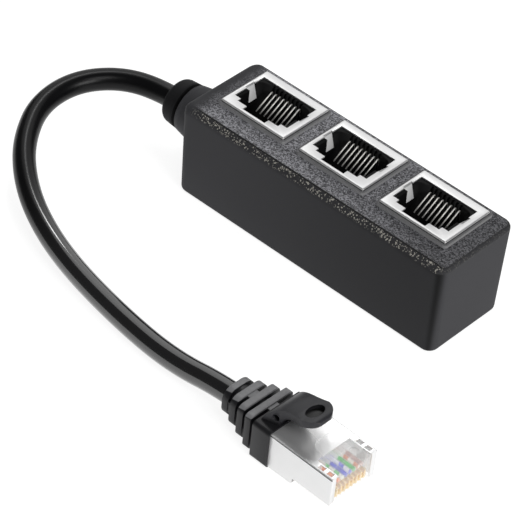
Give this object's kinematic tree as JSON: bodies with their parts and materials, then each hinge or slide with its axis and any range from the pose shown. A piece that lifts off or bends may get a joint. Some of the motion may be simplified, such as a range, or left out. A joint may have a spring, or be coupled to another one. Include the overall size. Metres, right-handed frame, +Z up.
{
  "type": "rj45 splitter adapter",
  "caption": "Black moulded block with a row of shielded modular sockets on top and a short round lead that ends in a shielded clear plug with a ribbed boot and latch hood.",
  "frame": {"origin": "centre of the housing's bottom face, opposite the sockets", "axes": "+X along the housing, away from the end that the lead leaves; +Y across it, away from the side that the lead comes round to; +Z up, out of the sockets"},
  "size_m": [0.1106, 0.0651, 0.0225],
  "materials": {
    "overmould": "spark textured on top, satin on the sides",
    "jacket": "smooth, glossy",
    "boot": "satin",
    "socket_shell": "nickel plated, satin",
    "plug_shell": "nickel plated, bright",
    "insert": "satin",
    "gold": "gold plated",
    "board": "solder mask",
    "lead": "insulated wire",
    "plug_clear": "clear moulding",
    "guide": "clear moulding",
    "wire_white_orange": "insulation",
    "wire_orange": "insulation",
    "wire_white_green": "insulation",
    "wire_blue": "insulation",
    "wire_white_blue": "insulation",
    "wire_green": "insulation",
    "wire_white_brown": "insulation",
    "wire_brown": "insulation"
  },
  "bodies": {
    "root": {"housing_overmould": "overmould", "circuit_board": "board", "inner_leads": "lead", "cable_jacket": "jacket", "plug_boot": "boot", "plug_body": "plug_clear", "plug_shield": "plug_shell", "wire_guide": "guide", "socket_shield_1": "socket_shell", "socket_insert_1": "insert", "contact_1_1": "gold", "contact_1_2": "gold", "contact_1_3": "gold", "contact_1_4": "gold", "contact_1_5": "gold", "contact_1_6": "gold", "contact_1_7": "gold", "contact_1_8": "gold", "socket_shield_2": "socket_shell", "socket_insert_2": "insert", "contact_2_1": "gold", "contact_2_2": "gold", "contact_2_3": "gold", "contact_2_4": "gold", "contact_2_5": "gold", "contact_2_6": "gold", "contact_2_7": "gold", "contact_2_8": "gold", "socket_shield_3": "socket_shell", "socket_insert_3": "insert", "contact_3_1": "gold", "contact_3_2": "gold", "contact_3_3": "gold", "contact_3_4": "gold", "contact_3_5": "gold", "contact_3_6": "gold", "contact_3_7": "gold", "contact_3_8": "gold", "plug_blade_1": "gold", "wire_1": "wire_white_orange", "plug_blade_2": "gold", "wire_2": "wire_orange", "plug_blade_3": "gold", "wire_3": "wire_white_green", "plug_blade_4": "gold", "wire_4": "wire_blue", "plug_blade_5": "gold", "wire_5": "wire_white_blue", "plug_blade_6": "gold", "wire_6": "wire_green", "plug_blade_7": "gold", "wire_7": "wire_white_brown", "plug_blade_8": "gold", "wire_8": "wire_brown"}
  },
  "joints": []
}
